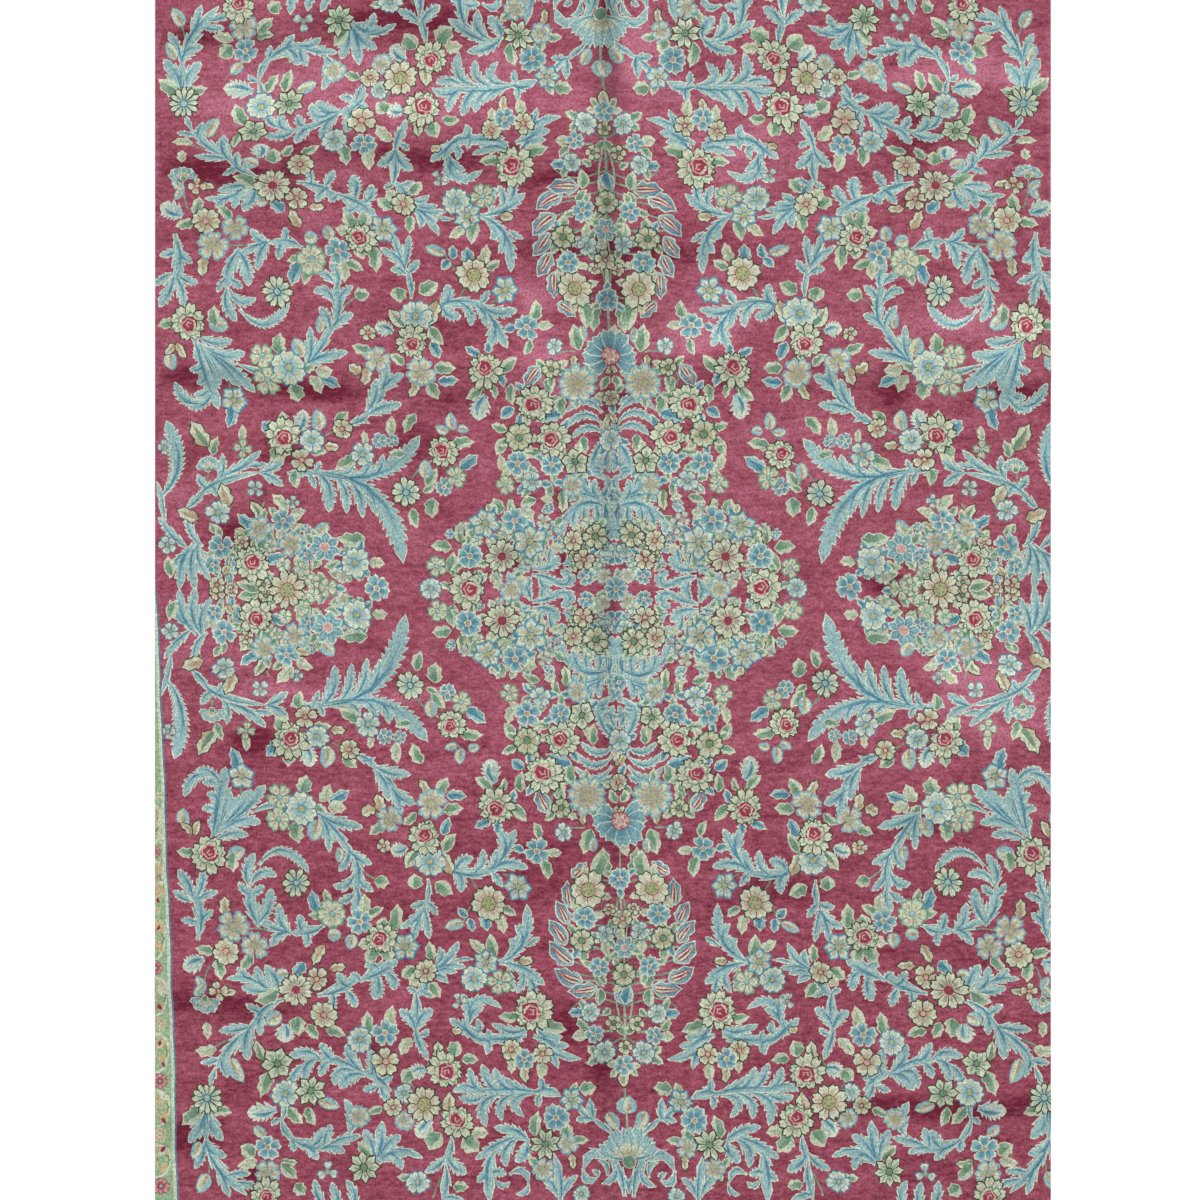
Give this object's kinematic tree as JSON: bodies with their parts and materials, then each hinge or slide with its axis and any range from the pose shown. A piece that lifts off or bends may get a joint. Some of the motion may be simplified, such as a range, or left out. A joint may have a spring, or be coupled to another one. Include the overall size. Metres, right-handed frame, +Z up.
{
  "type": "persian rug",
  "caption": "Rectangular hand-knotted floral rug lying flat, with soft ripples and a centre crease from folding.",
  "frame": {"origin": "middle of the underside, on the floor", "axes": "+Z up out of the pile; +Y along the rug's length, towards the end that is up in the picture; +X across its width"},
  "size_m": [1.94, 2.7, 0.0177],
  "materials": {
    "wool_pile": "matt knotted wool pile, rose red ground with blue, cream and green floral pattern"
  },
  "bodies": {
    "root": {"rug": "wool_pile"}
  },
  "joints": []
}
